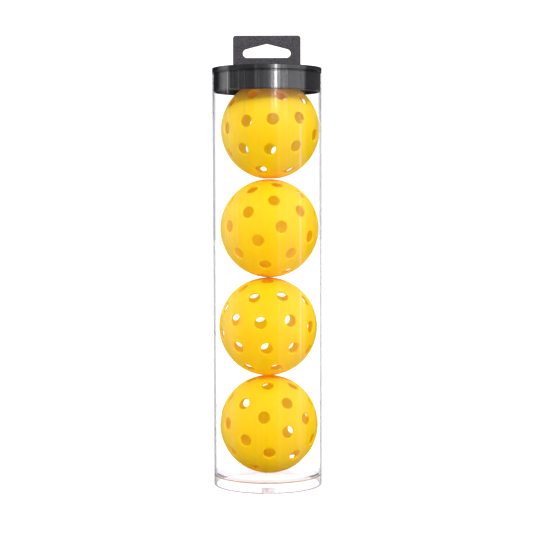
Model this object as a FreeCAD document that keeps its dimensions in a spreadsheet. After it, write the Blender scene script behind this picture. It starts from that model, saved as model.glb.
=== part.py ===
import FreeCAD, Part
import math
import os
import Sketcher

# A clear tube of pickleballs: an extruded tube with a turned-in foot, a clear base plug, a black
# lid that plugs the top, a hang tab hinged in the lid's recess, and a column of drilled balls.
# Frame: the origin is the centre of the tube's foot, +Z is up the tube, and the flat of the
# hang tab faces -Y. Sizes are in millimetres and degrees.

SIZES = {
    # the tube, whose wall turns in at the foot
    "tube_radius": 41.0,
    "tube_wall": 0.8,
    "tube_top": 309.9,
    "foot_radius": 39.0,
    "foot_rounding": 1.0,
    # the base plug: an upside-down cup whose floor carries the lowest ball
    "plug_bottom": 0.9,
    "plug_skirt_radius": 38.8,
    "plug_ceiling": 7.5,
    "plug_floor": 8.75,
    "plug_rim_radius": 39.3,
    "plug_top": 10.4,
    "plug_rounding": 0.4,
    "notch_width": 10.2,
    "notch_top": 5.9,
    # the lid: a flange on the tube's end, a skirt inside the tube and a recessed top
    "flange_bottom": 310.0,
    "lid_top": 313.4,
    "flange_rounding": 0.3,
    "skirt_bottom": 295.3,
    "skirt_radius": 39.9,
    "skirt_wall": 1.6,
    "skirt_rounding": 1.1,
    "skirt_inner_rounding": 0.3,
    "recess_radius": 38.8,
    "recess_floor": 310.2,
    "lid_plate": 1.8,
    # the hinge of the hang tab, in two ears that stand on the recess floor
    "pivot_height": 312.3,
    "pin_radius": 1.0,
    "pin_clearance": 0.08,
    "ear_radius": 2.6,
    "ear_thickness": 3.0,
    "ear_gap": 0.3,
    # the hang tab, with a slot of three round corners: one at each end and a small one on top
    "tab_width": 50.6,
    "tab_thickness": 2.0,
    "tab_top": 337.8,
    "tab_corner": 2.1,
    "tab_rounding": 0.35,
    "barrel_radius": 1.8,
    "slot_half_length": 17.9,
    "slot_end_radius": 3.3,
    "slot_end_height": 324.5,
    "slot_peak_radius": 1.5,
    "slot_peak_top": 331.6,
    # a ball: a hollow sphere with rings of holes in two equal halves, one turned over, and
    # twisted about the ball's own axis
    "ball_radius": 36.925,
    "ball_wall": 1.9,
    "hole_radius": 4.35,
    "hole_rounding": 0.8,
    "drill_overrun": 2.0,
    "half_twist": 70.7,
    "seam_turn": 35.3,
    "polar_latitude": 67.4,
    "middle_latitude": 39.6,
    "equator_latitude": 12.7,
    "polar_holes": 4,
    "middle_holes": 8,
    "equator_holes": 8,
    "middle_turn": 22.5,
    # the column of balls, from the top: sideways place, height and yaw, pitch, roll of each
    "ball_1_side": 2.4,
    "ball_1_height": 267.7,
    "ball_1_yaw": -9.4,
    "ball_1_pitch": 50.3,
    "ball_1_roll": -3.1,
    "ball_2_side": 1.6,
    "ball_2_height": 193.75,
    "ball_2_yaw": -141.0,
    "ball_2_pitch": -15.2,
    "ball_2_roll": 161.8,
    "ball_3_side": 0.4,
    "ball_3_height": 119.8,
    "ball_3_yaw": 108.2,
    "ball_3_pitch": 19.7,
    "ball_3_roll": 133.7,
    "ball_4_side": 0.8,
    "ball_4_height": 45.85,
    "ball_4_yaw": 68.2,
    "ball_4_pitch": 33.7,
    "ball_4_roll": -97.6,
}

BALL_COUNT = 4

document = FreeCAD.newDocument("ball_tube")
sheet = document.addObject("Spreadsheet::Sheet", "Sizes")


def fill_sheet():
    for row, (alias, size) in enumerate(SIZES.items(), start=1):
        sheet.set("A%d" % row, alias.replace("_", " "))
        sheet.set("B%d" % row, str(size))
        sheet.setAlias("B%d" % row, alias)
    document.recompute()


def value(expression):
    """The number that an expression on the sheet's cells comes to."""
    return float(sheet.evalExpression(expression))


def new_body(label):
    body = document.addObject("PartDesign::Body", label)
    body.Label = label
    return body


def origin_part(body, role):
    return [part for part in body.Origin.OriginFeatures if part.Role == role][0]


def new_sketch(body, name, plane):
    sketch = body.newObject("Sketcher::SketchObject", "%s_%s" % (body.Name, name))
    sketch.AttachmentSupport = (origin_part(body, plane), [""])
    sketch.MapMode = "FlatFace"
    return sketch


def bind(sketch, kind, places, expression):
    """Add a dimension to the sketch and tie it to the sheet."""
    index = sketch.addConstraint(Sketcher.Constraint(kind, *places, value(expression)))
    sketch.setExpression("Constraints[%d]" % index, expression)


def bind_point(sketch, edge, end, corner):
    bind(sketch, "DistanceX", (edge, end), corner[0])
    bind(sketch, "DistanceY", (edge, end), corner[1])


def join_ends(sketch, edges):
    """Join each edge's end to the next edge's start, all the way round."""
    for edge, following in zip(edges, edges[1:] + edges[:1]):
        sketch.addConstraint(Sketcher.Constraint("Coincident", edge, 2, following, 1))


def point(corner):
    return FreeCAD.Vector(value(corner[0]), value(corner[1]), 0)


def draw_outline(sketch, corners):
    """A closed outline of straight edges between corners that are pairs of expressions."""
    edges = []
    for start, end in zip(corners, corners[1:] + corners[:1]):
        edges.append(sketch.addGeometry(Part.LineSegment(point(start), point(end)), False))
    join_ends(sketch, edges)
    for edge, corner in zip(edges, corners):
        bind_point(sketch, edge, 1, corner)


def draw_circle(sketch, centre, radius):
    circle = Part.Circle(point(centre), FreeCAD.Vector(0, 0, 1), value(radius))
    edge = sketch.addGeometry(circle, False)
    bind_point(sketch, edge, 3, centre)
    bind(sketch, "Radius", (edge,), radius)


def add_arc(sketch, centre, radius, first_angle, last_angle):
    circle = Part.Circle(point(centre), FreeCAD.Vector(0, 0, 1), value(radius))
    arc = Part.ArcOfCircle(circle, math.radians(first_angle), math.radians(last_angle))
    edge = sketch.addGeometry(arc, False)
    bind_point(sketch, edge, 3, centre)
    bind(sketch, "Radius", (edge,), radius)
    return edge


def revolve(body, sketch):
    turned = body.newObject("PartDesign::Revolution", "%s_turned" % body.Name)
    turned.Profile = sketch
    turned.ReferenceAxis = (sketch, ["V_Axis"])
    turned.Angle = 360
    document.recompute()
    return turned


def pad_both_ways(body, sketch, length):
    pad = body.newObject("PartDesign::Pad", "%s_pad" % sketch.Name)
    pad.Profile = sketch
    pad.Midplane = True
    pad.setExpression("Length", length)
    document.recompute()
    return pad


def round_edges(body, feature, edges, radius):
    fillet = body.newObject("PartDesign::Fillet", "%s_rounded" % feature.Name)
    fillet.Base = (feature, edges)
    fillet.setExpression("Radius", radius)
    document.recompute()
    return fillet


def rings_at(feature, places):
    """Names of the feature's edges that are circles about the tube's axis at these places."""
    names = []
    wanted = [point(place) for place in places]
    for number, edge in enumerate(feature.Shape.Edges, start=1):
        if not isinstance(edge.Curve, Part.Circle):
            continue
        here = FreeCAD.Vector(edge.Curve.Radius, edge.Curve.Center.z, 0)
        if min((here - place).Length for place in wanted) < 0.001:
            names.append("Edge%d" % number)
    return names


def make_tube():
    body = new_body("tube")
    sketch = new_sketch(body, "wall", "XZ_Plane")
    bore = "Sizes.tube_radius - Sizes.tube_wall"
    draw_outline(sketch, [
        ("Sizes.foot_radius", "0"),
        ("Sizes.tube_radius", "0"),
        ("Sizes.tube_radius", "Sizes.tube_top"),
        (bore, "Sizes.tube_top"),
        (bore, "Sizes.tube_wall"),
        ("Sizes.foot_radius", "Sizes.tube_wall"),
    ])
    wall = revolve(body, sketch)
    foot = rings_at(wall, [("Sizes.tube_radius", "0")])
    round_edges(body, wall, foot, "Sizes.foot_rounding")
    return body


def make_base_plug():
    body = new_body("base_plug")
    sketch = new_sketch(body, "cup", "XZ_Plane")
    outside = "Sizes.tube_radius - Sizes.tube_wall"
    draw_outline(sketch, [
        ("Sizes.plug_skirt_radius", "Sizes.plug_bottom"),
        (outside, "Sizes.plug_bottom"),
        (outside, "Sizes.plug_top"),
        ("Sizes.plug_rim_radius", "Sizes.plug_top"),
        ("Sizes.plug_rim_radius", "Sizes.plug_floor"),
        ("0", "Sizes.plug_floor"),
        ("0", "Sizes.plug_ceiling"),
        ("Sizes.plug_skirt_radius", "Sizes.plug_ceiling"),
    ])
    cup = revolve(body, sketch)
    corners = rings_at(cup, [
        (outside, "Sizes.plug_bottom"),
        (outside, "Sizes.plug_top"),
        ("Sizes.plug_skirt_radius", "Sizes.plug_ceiling"),
    ])
    cup = round_edges(body, cup, corners, "Sizes.plug_rounding")
    # the pull notch goes through the front of the skirt and is open below
    sketch = new_sketch(body, "notch", "XZ_Plane")
    draw_outline(sketch, [
        ("-Sizes.notch_width / 2", "0"),
        ("Sizes.notch_width / 2", "0"),
        ("Sizes.notch_width / 2", "Sizes.notch_top"),
        ("-Sizes.notch_width / 2", "Sizes.notch_top"),
    ])
    notch = body.newObject("PartDesign::Pocket", "base_plug_notch_cut")
    notch.Profile = sketch
    notch.Reversed = True
    notch.setExpression("Length", "Sizes.tube_radius")
    document.recompute()
    if notch.Shape.Volume > cup.Shape.Volume - 1:
        raise RuntimeError("the pull notch cuts nothing")
    return body


def make_lid():
    body = new_body("lid")
    sketch = new_sketch(body, "section", "XZ_Plane")
    inside = "Sizes.skirt_radius - Sizes.skirt_wall"
    underside = "Sizes.recess_floor - Sizes.lid_plate"
    draw_outline(sketch, [
        ("0", underside),
        (inside, underside),
        (inside, "Sizes.skirt_bottom"),
        ("Sizes.skirt_radius", "Sizes.skirt_bottom"),
        ("Sizes.skirt_radius", "Sizes.flange_bottom"),
        ("Sizes.tube_radius", "Sizes.flange_bottom"),
        ("Sizes.tube_radius", "Sizes.lid_top"),
        ("Sizes.recess_radius", "Sizes.lid_top"),
        ("Sizes.recess_radius", "Sizes.recess_floor"),
        ("0", "Sizes.recess_floor"),
    ])
    cap = revolve(body, sketch)
    skirt_foot = rings_at(cap, [("Sizes.skirt_radius", "Sizes.skirt_bottom")])
    cap = round_edges(body, cap, skirt_foot, "Sizes.skirt_rounding")
    inner_edges = rings_at(cap, [(inside, "Sizes.skirt_bottom"), (inside, underside)])
    cap = round_edges(body, cap, inner_edges, "Sizes.skirt_inner_rounding")
    flange_edges = rings_at(cap, [
        ("Sizes.tube_radius", "Sizes.flange_bottom"),
        ("Sizes.tube_radius", "Sizes.lid_top"),
        ("Sizes.recess_radius", "Sizes.lid_top"),
        ("Sizes.recess_radius", "Sizes.recess_floor"),
    ])
    round_edges(body, cap, flange_edges, "Sizes.flange_rounding")
    add_ears(body)
    return body


def add_ears(body):
    """Two upright ears with round tops, each with a bore for one of the tab's pins."""
    sketch = new_sketch(body, "ear", "YZ_Plane")
    sketch.setExpression("AttachmentOffset.Base.z", "Sizes.tab_width / 2 + Sizes.ear_gap")
    pivot = ("0", "Sizes.pivot_height")
    low_front = ("-Sizes.ear_radius", "Sizes.recess_floor")
    low_back = ("Sizes.ear_radius", "Sizes.recess_floor")
    high_front = ("-Sizes.ear_radius", "Sizes.pivot_height")
    high_back = ("Sizes.ear_radius", "Sizes.pivot_height")
    edges = [
        sketch.addGeometry(Part.LineSegment(point(low_front), point(low_back)), False),
        sketch.addGeometry(Part.LineSegment(point(low_back), point(high_back)), False),
        add_arc(sketch, pivot, "Sizes.ear_radius", 0, 180),
        sketch.addGeometry(Part.LineSegment(point(high_front), point(low_front)), False),
    ]
    join_ends(sketch, edges)
    bind_point(sketch, edges[0], 1, low_front)
    bind_point(sketch, edges[0], 2, low_back)
    sketch.addConstraint(Sketcher.Constraint("Horizontal", edges[2], 1, edges[2], 3))
    sketch.addConstraint(Sketcher.Constraint("Horizontal", edges[2], 2, edges[2], 3))
    draw_circle(sketch, pivot, "Sizes.pin_radius + Sizes.pin_clearance")
    ear = body.newObject("PartDesign::Pad", "lid_right_ear")
    ear.Profile = sketch
    ear.setExpression("Length", "Sizes.ear_thickness")
    document.recompute()
    both = body.newObject("PartDesign::Mirrored", "lid_both_ears")
    both.Originals = [ear]
    both.MirrorPlane = (origin_part(body, "YZ_Plane"), [""])
    body.Tip = both
    document.recompute()


def draw_slot(sketch):
    """The hang slot: straight sides touching a round end at each side and a round peak."""
    end_radius = value("Sizes.slot_end_radius")
    peak_radius = value("Sizes.slot_peak_radius")
    end_x = "(Sizes.slot_half_length - Sizes.slot_end_radius)"
    end_z = "Sizes.slot_end_height"
    peak_z = "(Sizes.slot_peak_top - Sizes.slot_peak_radius)"
    # the sloping side touches the end and the peak at the same angle from the vertical
    rise = value(peak_z) - value(end_z)
    reach = math.hypot(value(end_x), rise)
    slope = math.degrees(math.atan2(rise, value(end_x)))
    slope += math.degrees(math.asin((peak_radius - end_radius) / reach))
    right_end = add_arc(sketch, (end_x, end_z), "Sizes.slot_end_radius", -90, 90 - slope)
    peak = add_arc(sketch, ("0", peak_z), "Sizes.slot_peak_radius", 90 - slope, 90 + slope)
    left_end = add_arc(sketch, ("-" + end_x, end_z), "Sizes.slot_end_radius", 90 + slope, 270)
    arcs = [right_end, peak, left_end]
    for arc, following in zip(arcs, arcs[1:] + arcs[:1]):
        start = sketch.Geometry[arc].EndPoint
        end = sketch.Geometry[following].StartPoint
        side = sketch.addGeometry(Part.LineSegment(start, end), False)
        sketch.addConstraint(Sketcher.Constraint("Tangent", arc, 2, side, 1))
        sketch.addConstraint(Sketcher.Constraint("Tangent", side, 2, following, 1))


def make_hang_tab():
    body = new_body("hang_tab")
    sketch = new_sketch(body, "plate", "XZ_Plane")
    draw_outline(sketch, [
        ("-Sizes.tab_width / 2", "Sizes.pivot_height"),
        ("Sizes.tab_width / 2", "Sizes.pivot_height"),
        ("Sizes.tab_width / 2", "Sizes.tab_top"),
        ("-Sizes.tab_width / 2", "Sizes.tab_top"),
    ])
    draw_slot(sketch)
    plate = pad_both_ways(body, sketch, "Sizes.tab_thickness")
    plate = round_edges(body, plate, tab_corners(plate), "Sizes.tab_corner")
    round_edges(body, plate, face_outlines(plate), "Sizes.tab_rounding")
    pivot = ("0", "Sizes.pivot_height")
    sketch = new_sketch(body, "barrel", "YZ_Plane")
    draw_circle(sketch, pivot, "Sizes.barrel_radius")
    pad_both_ways(body, sketch, "Sizes.tab_width")
    sketch = new_sketch(body, "pins", "YZ_Plane")
    draw_circle(sketch, pivot, "Sizes.pin_radius")
    pad_both_ways(body, sketch, "Sizes.tab_width + 2 * Sizes.ear_gap + 2 * Sizes.ear_thickness")
    return body


def tab_corners(plate):
    """The two upper corner edges of the plate, which run front to back."""
    names = []
    for number, edge in enumerate(plate.Shape.Edges, start=1):
        box = edge.BoundBox
        at_top = abs(box.ZMin - value("Sizes.tab_top")) < 0.001
        if at_top and box.YLength > value("Sizes.tab_thickness") / 2:
            names.append("Edge%d" % number)
    return names


def face_outlines(plate):
    """The edges round the plate's front and back faces and its slot, but not along its foot."""
    names = []
    half = value("Sizes.tab_thickness / 2")
    for number, edge in enumerate(plate.Shape.Edges, start=1):
        box = edge.BoundBox
        on_face = box.YLength < 0.001 and abs(abs(box.Center.y) - half) < 0.001
        along_foot = box.ZMax < value("Sizes.pivot_height") + 0.001
        if on_face and not along_foot:
            names.append("Edge%d" % number)
    return names


def make_ball(number):
    body = new_body("ball_%d" % number)
    shell = revolve(body, shell_section(body))
    rings = [("polar", "0"), ("middle", "Sizes.middle_turn"), ("equator", "0")]
    for half, side, twist in (("upper", "", "0"), ("lower", "-", "Sizes.half_twist")):
        for ring, turn in rings:
            latitude = "%sSizes.%s_latitude" % (side, ring)
            drill_ring(body, "%s_%s" % (half, ring), latitude, "%s + %s" % (turn, twist),
                       "Sizes.%s_holes" % ring)
    # each hole takes away a disc of the wall
    disc = math.pi * value("Sizes.hole_radius") ** 2 * value("Sizes.ball_wall")
    holes = 2 * value("Sizes.polar_holes + Sizes.middle_holes + Sizes.equator_holes")
    if shell.Shape.Volume - body.Shape.Volume < holes * disc:
        raise RuntimeError("%s lacks some of its holes" % body.Label)
    cell = "Sizes.ball_%d_" % number
    place = "vector({0}side; 0; {0}height)".format(cell)
    turn = "rotation({0}yaw; {0}pitch; {0}roll)".format(cell)
    body.setExpression("Placement", "placement(%s; %s)" % (place, turn))
    return body


def shell_section(body):
    """Half a ring: two half circles about the ball's centre, joined at its poles. The sphere's
    seam starts in its plane, which is turned so that the seam runs between the holes."""
    sketch = new_sketch(body, "shell", "XZ_Plane")
    turned = "placement(vector(0; 0; 0); rotation(vector(0; 1; 0); Sizes.seam_turn))"
    sketch.setExpression("AttachmentOffset", turned)
    inner = "(Sizes.ball_radius - Sizes.ball_wall)"
    outside = add_arc(sketch, ("0", "0"), "Sizes.ball_radius", -90, 90)
    inside = add_arc(sketch, ("0", "0"), inner, -90, 90)
    for end, sign in ((1, "-"), (2, "")):
        foot = ("0", sign + inner)
        tip = ("0", sign + "Sizes.ball_radius")
        pole = sketch.addGeometry(Part.LineSegment(point(foot), point(tip)), False)
        sketch.addConstraint(Sketcher.Constraint("Coincident", pole, 1, inside, end))
        sketch.addConstraint(Sketcher.Constraint("Coincident", pole, 2, outside, end))
        sketch.addConstraint(Sketcher.Constraint("Vertical", pole))
    return sketch


def drill_ring(body, name, latitude, turn, count):
    """Drill one hole along the sketch's own X axis, then repeat it about the ball's axis."""
    sketch = new_sketch(body, name, "XZ_Plane")
    aim = "rotation(vector(0; 1; 0); %s) * rotation(vector(0; 0; 1); %s)" % (turn, latitude)
    sketch.setExpression("AttachmentOffset", "placement(vector(0; 0; 0); %s)" % aim)
    draw_drill(sketch)
    drill = body.newObject("PartDesign::Groove", "%s_%s_drill" % (body.Name, name))
    drill.Profile = sketch
    drill.ReferenceAxis = (sketch, ["H_Axis"])
    drill.Angle = 360
    document.recompute()
    ring = body.newObject("PartDesign::PolarPattern", "%s_%s_ring" % (body.Name, name))
    ring.Originals = [drill]
    ring.Axis = (origin_part(body, "Z_Axis"), [""])
    ring.Angle = 360
    ring.setExpression("Occurrences", count)
    body.Tip = ring
    document.recompute()


def draw_drill(sketch):
    """Half the drill's outline: a straight shank that flares in a round mouth at the surface."""
    start = "Sizes.ball_radius - Sizes.ball_wall - Sizes.drill_overrun"
    end = "Sizes.ball_radius + Sizes.drill_overrun"
    shank = "Sizes.hole_radius"
    mouth = "(Sizes.hole_radius + Sizes.hole_rounding)"
    surface = "sqrt(Sizes.ball_radius ^ 2 - %s ^ 2)" % mouth
    flare = "%s - Sizes.hole_rounding" % surface
    arc = add_arc(sketch, (flare, mouth), "Sizes.hole_rounding", -90, 0)
    sketch.addConstraint(Sketcher.Constraint("Vertical", arc, 1, arc, 3))
    sketch.addConstraint(Sketcher.Constraint("Horizontal", arc, 2, arc, 3))
    corners = [(surface, mouth), (end, mouth), (end, "0"), (start, "0"), (start, shank), (flare, shank)]
    edges = [arc]
    for first, second in zip(corners, corners[1:]):
        edges.append(sketch.addGeometry(Part.LineSegment(point(first), point(second)), False))
    join_ends(sketch, edges)
    for edge, corner in zip(edges[2:], corners[1:]):
        bind_point(sketch, edge, 1, corner)


def check_and_write(bodies):
    document.recompute()
    for item in document.Objects:
        if "Invalid" in item.State or "Error" in item.State:
            raise RuntimeError("%s failed to build" % item.Label)
    for body in bodies:
        shape = body.Shape
        if shape.isNull() or not shape.isValid() or len(shape.Solids) != 1:
            raise RuntimeError("%s isn't one valid solid" % body.Label)
    os.makedirs("parts", exist_ok=True)
    for body in bodies:
        box = body.Shape.BoundBox
        print("%-10s %9.1f mm3  x %.2f..%.2f  y %.2f..%.2f  z %.2f..%.2f" % (
            body.Label, body.Shape.Volume, box.XMin, box.XMax, box.YMin, box.YMax, box.ZMin, box.ZMax))
        body.Shape.exportStep("parts/%s.step" % body.Label)


fill_sheet()
made = [make_tube(), make_base_plug(), make_lid(), make_hang_tab()]
made += [make_ball(number) for number in range(1, BALL_COUNT + 1)]
check_and_write(made)
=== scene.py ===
import math

import bpy
from mathutils import Matrix, Vector


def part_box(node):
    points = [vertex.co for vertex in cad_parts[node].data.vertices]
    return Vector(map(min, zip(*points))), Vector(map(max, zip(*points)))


# A clear tube of pickleballs in a white studio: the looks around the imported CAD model.
# Metres, in the model's own frame: +Z up the tube, and -Y towards the camera.

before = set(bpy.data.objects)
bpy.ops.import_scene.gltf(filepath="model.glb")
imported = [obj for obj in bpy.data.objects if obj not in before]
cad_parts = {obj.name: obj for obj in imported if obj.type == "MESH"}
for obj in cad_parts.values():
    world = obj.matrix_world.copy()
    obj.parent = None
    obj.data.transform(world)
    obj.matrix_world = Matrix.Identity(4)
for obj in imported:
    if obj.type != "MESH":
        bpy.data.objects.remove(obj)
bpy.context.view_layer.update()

WHITE = 1.5  # the backdrop, brighter than the picture can show
FLOOR_GLOW = 1.15
FLOOR_HALF_SIZE = 6.0
BRIGHTEST = 3.0  # of the room in the mirrors
ROOM_JOIN = (0.045, 0.06)  # upward slopes between which the room's lower row gives way to its upper

FACE_MIRROR = 0.018  # what one face of the clear wall mirrors, looked at straight on
GRAZING_POWER = 6.0  # how late that grows towards the edge of the tube
STREAK_MIRROR = 0.16  # what the strongest of the wall's fine lines mirror

# Where a mask rises or falls, in metres: distances from the tube's axis, heights and half widths.
TUBE_FACE = (0.0403, 0.0405)
TUBE_END = (0.0010, 0.0018)
PATCH_HALF_WIDTH = (0.0046, 0.0056)
PATCH_TOP = (0.0050, 0.0056)
PATCH_FRONT = (-0.002, 0.0)
PLUG_FACE = (0.0396, 0.0400)
PLUG_FLOOR_MIDDLE = 0.0081
PLUG_FLOOR_GLASS = (0.0006, 0.0010)
PLUG_FLOOR_EDGE = (0.0004, 0.0008)
PLUG_FLOOR_TOP = (0.0086, 0.0087)
# the painted glow on the plug's floor fades out between these distances from the axis
PLUG_GLOW = (0.016, 0.028)
BALL_INSIDE = (0.0353, 0.0362)

CAMERA_PLACE = (-0.0007, -1.1072, 0.2193)
CAMERA_TIP_DOWN = 2.81
CAMERA_LEAN = -0.18
LENS_MM = 99.37
SENSOR_MM = 36.0

# Light gets out of a ball only after many bounces inside it.
MAX_BOUNCES = 20
DIFFUSE_BOUNCES = 16

# The room as a wall mirrors it: (azimuth, brightness) stops, with the azimuth in degrees from the
# camera's side to the right. One row is for what stands above the camera's level and shows in the
# lid, the other for what stands below it and shows in the tube beside the balls.
ROOM_ABOVE = [
    (-180, 0.03), (-128, 0.04), (-121, 0.35), (-112, 0.70), (-98, 1.20), (-90, 1.25), (-87, 0.40),
    (-81, 0.22), (-62, 0.33), (-47, 0.23), (-26, 0.25), (-24.5, 0.75), (-22, 0.75), (-20, 0.36),
    (-10, 0.45), (0, 0.60), (5, 0.95), (9, 1.70), (12, 2.90), (24, 3.0), (28.5, 2.4), (30.5, 0.6),
    (32.5, 2.1), (37, 1.60), (45, 1.10), (67, 1.05), (70.5, 1.50), (74, 0.80), (82, 1.00),
    (88, 0.75), (92, 0.20), (180, 0.03),
]
ROOM_BELOW = [
    (-180, 0.50), (-172, 0.38), (-157, 0.08), (-151, 0.00), (-143, 0.00), (-137, 0.47),
    (-116, 0.74), (-105, 1.22), (-86, 1.55), (-78, 1.22), (-60, 0.35), (-32, 0.12),
    (-23, 0.24), (-8, 0.09), (2, 0.05), (14, 0.20), (21, 0.30), (24, 1.20), (29, 0.65),
    (50, 0.65), (66, 1.00), (73, 1.76), (80, 1.28), (88, 1.01), (91, 0.27), (99, 0.04),
    (137, 0.03), (141, 0.80), (152, 0.80), (159, 0.18), (166, 0.18), (180, 0.45),
]


# ---------------------------------------------------------------- node helpers

def new_material(name):
    """A material with an empty node tree, and that tree's output node."""
    material = bpy.data.materials.new(name)
    material.use_nodes = True
    material.node_tree.nodes.clear()
    output = material.node_tree.nodes.new("ShaderNodeOutputMaterial")
    return material, output


def add_node(tree, kind, inputs=None, **settings):
    """A node whose inputs are numbers, colours or the sockets that feed them."""
    node = tree.nodes.new(kind)
    for name, setting in settings.items():
        setattr(node, name, setting)
    for name, given in (inputs or {}).items():
        if isinstance(given, bpy.types.NodeSocket):
            tree.links.new(given, node.inputs[name])
        else:
            node.inputs[name].default_value = given
    return node


def maths(tree, operation, first, second=0.0):
    return add_node(tree, "ShaderNodeMath", {0: first, 1: second}, operation=operation).outputs[0]


def product(tree, first, *others):
    """Two or more values multiplied, in order."""
    for other in others:
        first = maths(tree, "MULTIPLY", first, other)
    return first


def blend(tree, first, first_share, second, second_share):
    """Two heights or greys added by their shares."""
    weighed = product(tree, first, first_share), product(tree, second, second_share)
    return maths(tree, "ADD", *weighed)


def object_place(tree, scale=(1.0, 1.0, 1.0)):
    """Object coordinates, scaled along each axis."""
    place = add_node(tree, "ShaderNodeTexCoord").outputs["Object"]
    return add_node(tree, "ShaderNodeMapping", {"Vector": place, "Scale": scale}).outputs["Vector"]


def split(tree, vector):
    """The X, Y and Z sockets of a vector."""
    return add_node(tree, "ShaderNodeSeparateXYZ", {"Vector": vector}).outputs


def noise(tree, vector, scale, detail=2.0, roughness=0.5):
    given = {"Vector": vector, "Scale": scale, "Detail": detail, "Roughness": roughness}
    return add_node(tree, "ShaderNodeTexNoise", given).outputs["Fac"]


def ramp(tree, factor, stops):
    """A colour ramp with these (place, colour) stops."""
    node = add_node(tree, "ShaderNodeValToRGB", {"Fac": factor})
    elements = node.color_ramp.elements
    while len(elements) < len(stops):
        elements.new(0.5)
    for element, (place, colour) in zip(elements, stops):
        element.position = place
        element.color = (*colour, 1.0)
    return node.outputs["Color"]


def ranged(tree, value, from_low, from_high, to_low, to_high):
    """A value carried from one range to another, and held at its ends."""
    return add_node(tree, "ShaderNodeMapRange", {
        "Value": value, "From Min": from_low, "From Max": from_high,
        "To Min": to_low, "To Max": to_high}).outputs[0]


def remap(tree, factor, low, high):
    """A factor of 0 to 1 spread over low to high."""
    return ranged(tree, factor, 0.0, 1.0, low, high)


def rising(tree, value, span):
    """A mask that is 0 before the span and 1 after it."""
    return ranged(tree, value, *span, 0.0, 1.0)


def falling(tree, value, span):
    """A mask that is 1 before the span and 0 after it."""
    return ranged(tree, value, *span, 1.0, 0.0)


def mix_colour(tree, factor, first, second):
    """A colour between two others, through the colour sockets of the Mix node."""
    given = {0: factor, 6: first, 7: second}
    return add_node(tree, "ShaderNodeMix", given, data_type="RGBA").outputs[2]


def mix_shaders(tree, factor, first, second):
    """A shader between two others."""
    return add_node(tree, "ShaderNodeMixShader", {"Fac": factor, 1: first, 2: second}).outputs[0]


def bump(tree, height, strength, distance):
    given = {"Height": height, "Strength": strength, "Distance": distance}
    return add_node(tree, "ShaderNodeBump", given).outputs["Normal"]


def from_axis(tree, parts):
    """The distance from the tube's axis, of a place split into its coordinates."""
    squares = [maths(tree, "MULTIPLY", parts[axis], parts[axis]) for axis in "XY"]
    return maths(tree, "SQRT", maths(tree, "ADD", *squares))


def outer_side(tree):
    """1 where a face is met from outside the plastic, and 0 from within."""
    backfacing = add_node(tree, "ShaderNodeNewGeometry").outputs["Backfacing"]
    return maths(tree, "SUBTRACT", 1.0, backfacing)


def looked_at(tree, path):
    """1 for what the eye sees, straight or through clear plastic, and 0 for light and mirrors."""
    rays = path.outputs
    return maths(tree, "MAXIMUM", rays["Is Camera Ray"], rays["Is Transmission Ray"])


# ---------------------------------------------------------------- materials

def clear_wall():
    """The tube's thin clear wall. What is behind it stays in place, and each of its faces mirrors
    a little, which is most of what shows along its edges."""
    material, output = new_material("tube_clear")
    tree = material.node_tree
    # fine lines up the tube: noise that changes fast round it and hardly at all along it
    lines = noise(tree, object_place(tree, (1.0, 1.0, 0.004)), 700.0, detail=4.0, roughness=0.75)
    wave = noise(tree, object_place(tree, (1.0, 1.0, 0.2)), 60.0, detail=1.0)
    height = maths(tree, "ADD", maths(tree, "MULTIPLY", lines, 0.5), wave)
    facing = add_node(tree, "ShaderNodeLayerWeight", {"Blend": 0.5}).outputs["Facing"]
    grazing = maths(tree, "POWER", facing, GRAZING_POWER)
    mirrored = maths(tree, "ADD", product(tree, grazing, 1.0 - FACE_MIRROR), FACE_MIRROR)
    marked = maths(tree, "ADD", mirrored, ranged(tree, lines, 0.57, 0.70, 0.0, STREAK_MIRROR))
    # painted shade: a grey band round both ends, on the outer face where it is met from outside,
    # for the dark line along the wall's ends
    place = object_place(tree)
    parts = split(tree, place)
    from_end = maths(tree, "PINGPONG", parts["Z"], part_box("tube")[1][2] / 2)
    outside = rising(tree, from_axis(tree, parts), TUBE_FACE)
    end = product(tree, outer_side(tree), outside, falling(tree, from_end, TUBE_END))
    through = ramp(tree, end, [(0.0, (0.995, 0.993, 0.997)), (1.0, (0.42, 0.39, 0.42))])
    # a frosted patch on the front of the foot, over the plug's pull notch
    patch = product(
        tree, outside,
        falling(tree, parts["Y"], PATCH_FRONT),
        falling(tree, parts["Z"], PATCH_TOP),
        falling(tree, maths(tree, "ABSOLUTE", parts["X"]), PATCH_HALF_WIDTH))
    grain = noise(tree, place, 420.0, detail=3.0)
    frost = ramp(tree, grain, [(0.38, (0.44, 0.39, 0.41)), (0.6, (0.58, 0.52, 0.54))])
    clear = add_node(tree, "ShaderNodeBsdfTransparent", {
        "Color": mix_colour(tree, patch, through, frost)}).outputs[0]
    gloss = add_node(tree, "ShaderNodeBsdfGlossy", {
        "Color": (0.97, 0.95, 1.0, 1.0),
        "Roughness": 0.03,
        "Normal": bump(tree, height, strength=0.05, distance=0.0003),
    }).outputs[0]
    tree.links.new(mix_shaders(tree, marked, clear, gloss), output.inputs["Surface"])
    return material


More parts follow.
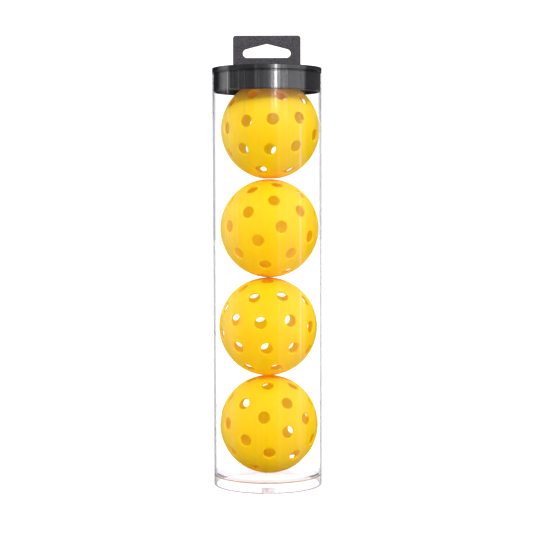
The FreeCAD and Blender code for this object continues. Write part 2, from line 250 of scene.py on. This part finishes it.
def clear_moulding():
    """Thick clear plastic, which bends what is seen through it, while lamps and the room's soft
    light pass straight through. Its floor's edge and the middle of its floor carry the balls'
    colour as painted reflection and painted glow."""
    material, output = new_material("plug_clear")
    tree = material.node_tree
    place = object_place(tree)
    flow = noise(tree, place, 90.0, detail=2.0)
    parts = split(tree, place)
    radius = from_axis(tree, parts)
    rim = product(tree, outer_side(tree), rising(tree, radius, PLUG_FACE))
    from_floor = maths(tree, "ABSOLUTE", maths(tree, "SUBTRACT", parts["Z"], PLUG_FLOOR_MIDDLE))
    slab = product(tree, rim, falling(tree, from_floor, PLUG_FLOOR_GLASS))
    # painted reflection: the floor's edge takes a brown tint from the balls
    edge = product(tree, rim, falling(tree, from_floor, PLUG_FLOOR_EDGE))
    # painted glow: the middle of the floor's top is tinted warm, for the balls' light
    painted_glow = product(tree, rising(tree, parts["Z"], PLUG_FLOOR_TOP), falling(tree, radius, PLUG_GLOW))
    body = ramp(tree, flow, [(0.3, (0.95, 0.93, 0.95)), (0.7, (0.99, 0.98, 0.99))])
    # the brown along the floor's edge, in both the glass and the clear part, is painted reflection
    # of the balls
    glass = add_node(tree, "ShaderNodeBsdfPrincipled", {
        "Base Color": mix_colour(tree, edge, body, (0.45, 0.33, 0.20, 1.0)),
        "Roughness": remap(tree, flow, 0.02, 0.06),
        "IOR": 1.49,
        "Transmission Weight": 1.0,
        "Normal": bump(tree, flow, strength=0.15, distance=0.0008),
    }).outputs["BSDF"]
    # painted glow of the balls' light on the floor's top
    tint = ramp(tree, painted_glow, [(0.0, (0.98, 0.97, 0.98)), (1.0, (0.90, 0.83, 0.78))])
    clear = add_node(tree, "ShaderNodeBsdfTransparent", {
        "Color": mix_colour(tree, edge, tint, (0.42, 0.30, 0.20, 1.0))}).outputs[0]
    path = add_node(tree, "ShaderNodeLightPath")
    share = product(tree, looked_at(tree, path), remap(tree, slab, 0.15, 0.35))
    tree.links.new(mix_shaders(tree, share, clear, glass), output.inputs["Surface"])
    return material


def ball_plastic(node):
    """Satin polyethylene, a little translucent, with faint mottling and handling scuffs. The inside
    of the shell gets a slightly more orange copy of the colour, painted shade for the light that
    bounces about inside it."""
    material, output = new_material("%s_yellow" % node)
    tree = material.node_tree
    place = object_place(tree)
    low, high = (Vector(corner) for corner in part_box(node))
    radius = add_node(tree, "ShaderNodeVectorMath", {
        0: place, 1: (low + high) / 2}, operation="DISTANCE").outputs["Value"]
    inside = falling(tree, radius, BALL_INSIDE)
    mottle = noise(tree, place, 45.0, detail=3.0)
    outer = ramp(tree, mottle, [(0.3, (0.98, 0.565, 0.001)), (0.7, (1.0, 0.605, 0.002))])
    # painted shade: the inside of the shell is a little more orange than the outside
    inner_shade = ramp(tree, mottle, [(0.3, (0.99, 0.55, 0.001)), (0.7, (1.0, 0.59, 0.002))])
    scuff = noise(tree, object_place(tree, (1.0, 1.0, 0.3)), 260.0, detail=4.0, roughness=0.65)
    grain = noise(tree, place, 1400.0, detail=2.0)
    height = blend(tree, scuff, 0.6, grain, 0.4)
    shader = add_node(tree, "ShaderNodeBsdfPrincipled", {
        "Base Color": mix_colour(tree, inside, outer, inner_shade),
        "Roughness": remap(tree, scuff, 0.45, 0.60),
        "Specular IOR Level": 0.22,
        "Subsurface Weight": 1.0,
        "Subsurface Radius": (0.75, 0.85, 0.1),
        "Subsurface Scale": 0.012,
        "Normal": bump(tree, height, strength=0.10, distance=0.0003),
    })
    tree.links.new(shader.outputs["BSDF"], output.inputs["Surface"])
    return material


def lid_plastic():
    """Polished black plastic, whose moulded face bends reflections a little."""
    material, output = new_material("lid_black")
    tree = material.node_tree
    place = object_place(tree)
    sink = noise(tree, place, 38.0, detail=1.0)
    film = noise(tree, place, 160.0, detail=3.0)
    black = ramp(tree, film, [(0.3, (0.004, 0.004, 0.005)), (0.8, (0.007, 0.006, 0.008))])
    shader = add_node(tree, "ShaderNodeBsdfPrincipled", {
        "Base Color": black,
        "Roughness": remap(tree, film, 0.03, 0.09),
        "IOR": 1.84,
        "Normal": bump(tree, sink, strength=0.15, distance=0.0008),
    })
    tree.links.new(shader.outputs["BSDF"], output.inputs["Surface"])
    return material


def tab_plastic():
    """Black plastic with a fine spark-eroded grain."""
    material, output = new_material("tab_black")
    tree = material.node_tree
    place = object_place(tree)
    grain = noise(tree, place, 820.0, detail=3.0, roughness=0.7)
    cloud = noise(tree, place, 60.0, detail=2.0)
    speckle = blend(tree, grain, 0.85, cloud, 0.15)
    black = ramp(tree, speckle, [(0.35, (0.026, 0.023, 0.028)), (0.68, (0.092, 0.086, 0.096))])
    shader = add_node(tree, "ShaderNodeBsdfPrincipled", {
        "Base Color": black,
        "Roughness": remap(tree, grain, 0.60, 0.80),
        "Specular IOR Level": 0.35,
        "Normal": bump(tree, grain, strength=0.6, distance=0.0005),
    })
    tree.links.new(shader.outputs["BSDF"], output.inputs["Surface"])
    return material


def floor_paint():
    """White paint that glows to the eye, so the floor runs into the backdrop."""
    material, output = new_material("floor_white")
    tree = material.node_tree
    path = add_node(tree, "ShaderNodeLightPath")
    speckle = noise(tree, object_place(tree), 220.0, detail=3.0)
    shader = add_node(tree, "ShaderNodeBsdfPrincipled", {
        "Base Color": ramp(tree, speckle, [(0.3, (0.63, 0.63, 0.63)), (0.7, (0.66, 0.66, 0.66))]),
        "Roughness": 0.9,
        "Emission Color": (1.0, 1.0, 1.0, 1.0),
        "Emission Strength": product(tree, looked_at(tree, path), FLOOR_GLOW),
    })
    tree.links.new(shader.outputs["BSDF"], output.inputs["Surface"])
    return material


def dress(node, material):
    """Give a carried-over CAD node its material."""
    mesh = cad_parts[node].data
    mesh.materials.clear()
    mesh.materials.append(material)


# ---------------------------------------------------------------- studio

def add_floor(material):
    size = FLOOR_HALF_SIZE
    mesh = bpy.data.meshes.new("floor")
    corners = [(-size, -size, 0), (size, -size, 0), (size, size, 0), (-size, size, 0)]
    mesh.from_pydata(corners, [], [(0, 1, 2, 3)])
    mesh.materials.append(material)
    floor = bpy.data.objects.new("floor", mesh)
    bpy.context.collection.objects.link(floor)
    floor.visible_glossy = False


def add_lamp(name, azimuth, distance, low, high, width, radiance, aim=None, in_mirrors=True):
    """A rectangular lamp, from low to high, that faces the tube or an aim on its axis.
    The azimuth is from the camera's side, to the right."""
    light = bpy.data.lights.new(name, "AREA")
    light.shape = "RECTANGLE"
    light.size = width
    light.size_y = high - low
    light.energy = radiance * math.pi * light.size * light.size_y
    lamp = bpy.data.objects.new(name, light)
    turn = math.radians(azimuth)
    middle = (low + high) / 2
    lamp.location = (distance * math.sin(turn), -distance * math.cos(turn), middle)
    target = Vector((0, 0, middle if aim is None else aim))
    lamp.rotation_euler = (target - lamp.location).to_track_quat("-Z", "Y").to_euler()
    lamp.visible_glossy = in_mirrors
    lamp.visible_transmission = False
    bpy.context.collection.objects.link(lamp)


def room_row(tree, turn, row):
    """One row of the room by azimuth, as a fraction of its brightest place."""
    stops = [((azimuth + 180) / 360, (level / BRIGHTEST,) * 3) for azimuth, level in row]
    return ramp(tree, turn, stops)


def set_world():
    """A white backdrop to the camera, soft light all round, and the room in reflections."""
    world = bpy.data.worlds.new("studio")
    world.use_nodes = True
    tree = world.node_tree
    tree.nodes.clear()
    parts = split(tree, add_node(tree, "ShaderNodeTexCoord").outputs["Generated"])
    azimuth = maths(tree, "ARCTAN2", parts["X"], maths(tree, "MULTIPLY", parts["Y"], -1.0))
    turn = ranged(tree, azimuth, -math.pi, math.pi, 0.0, 1.0)
    above = rising(tree, parts["Z"], ROOM_JOIN)
    below_row, above_row = (room_row(tree, turn, row) for row in (ROOM_BELOW, ROOM_ABOVE))
    mirrored = mix_colour(tree, above, below_row, above_row)
    level = ranged(tree, parts["Z"], -0.20, -0.08, 0.45 * BRIGHTEST, BRIGHTEST)
    # the soft light is weaker from below and from the left
    lift = ranged(tree, parts["Z"], -0.6, 0.1, 0.45, 1.1)
    lift = product(tree, lift, ranged(tree, parts["X"], -0.9, 0.1, 0.85, 1.0))

    def shade(strength, colour=(1.0, 1.0, 1.0, 1.0)):
        given = {"Color": colour, "Strength": strength}
        return add_node(tree, "ShaderNodeBackground", given).outputs[0]

    path = add_node(tree, "ShaderNodeLightPath")
    soft = mix_shaders(tree, path.outputs["Is Glossy Ray"], shade(lift), shade(level, mirrored))
    mixed = mix_shaders(tree, looked_at(tree, path), soft, shade(WHITE))
    output = add_node(tree, "ShaderNodeOutputWorld")
    tree.links.new(mixed, output.inputs["Surface"])
    bpy.context.scene.world = world


def add_camera():
    """A long lens a little above the middle of the tube, tipped slightly down."""
    data = bpy.data.cameras.new("camera")
    data.sensor_width = SENSOR_MM
    data.lens = LENS_MM
    data.clip_start = 0.01
    camera = bpy.data.objects.new("camera", data)
    tip = Matrix.Rotation(math.radians(90 - CAMERA_TIP_DOWN), 4, "X")
    lean = Matrix.Rotation(math.radians(CAMERA_LEAN), 4, "Z")
    camera.matrix_world = Matrix.Translation(CAMERA_PLACE) @ tip @ lean
    bpy.context.collection.objects.link(camera)
    bpy.context.scene.camera = camera


# ---------------------------------------------------------------- the scene

dress("tube", clear_wall())
dress("base_plug", clear_moulding())
dress("lid", lid_plastic())
dress("hang_tab", tab_plastic())
for node_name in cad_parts:
    if node_name.startswith("ball_"):
        dress(node_name, ball_plastic(node_name))

add_floor(floor_paint())
add_lamp("strip", azimuth=18.5, distance=1.5, low=0.37, high=1.4, width=0.14, radiance=6.5)
add_lamp("key", azimuth=4, distance=1.5, low=1.19, high=1.37, width=0.5, radiance=58.0,
         aim=0.2, in_mirrors=False)
set_world()
add_camera()
bpy.context.scene.view_settings.view_transform = "Standard"
bpy.context.scene.cycles.max_bounces = MAX_BOUNCES
bpy.context.scene.cycles.diffuse_bounces = DIFFUSE_BOUNCES
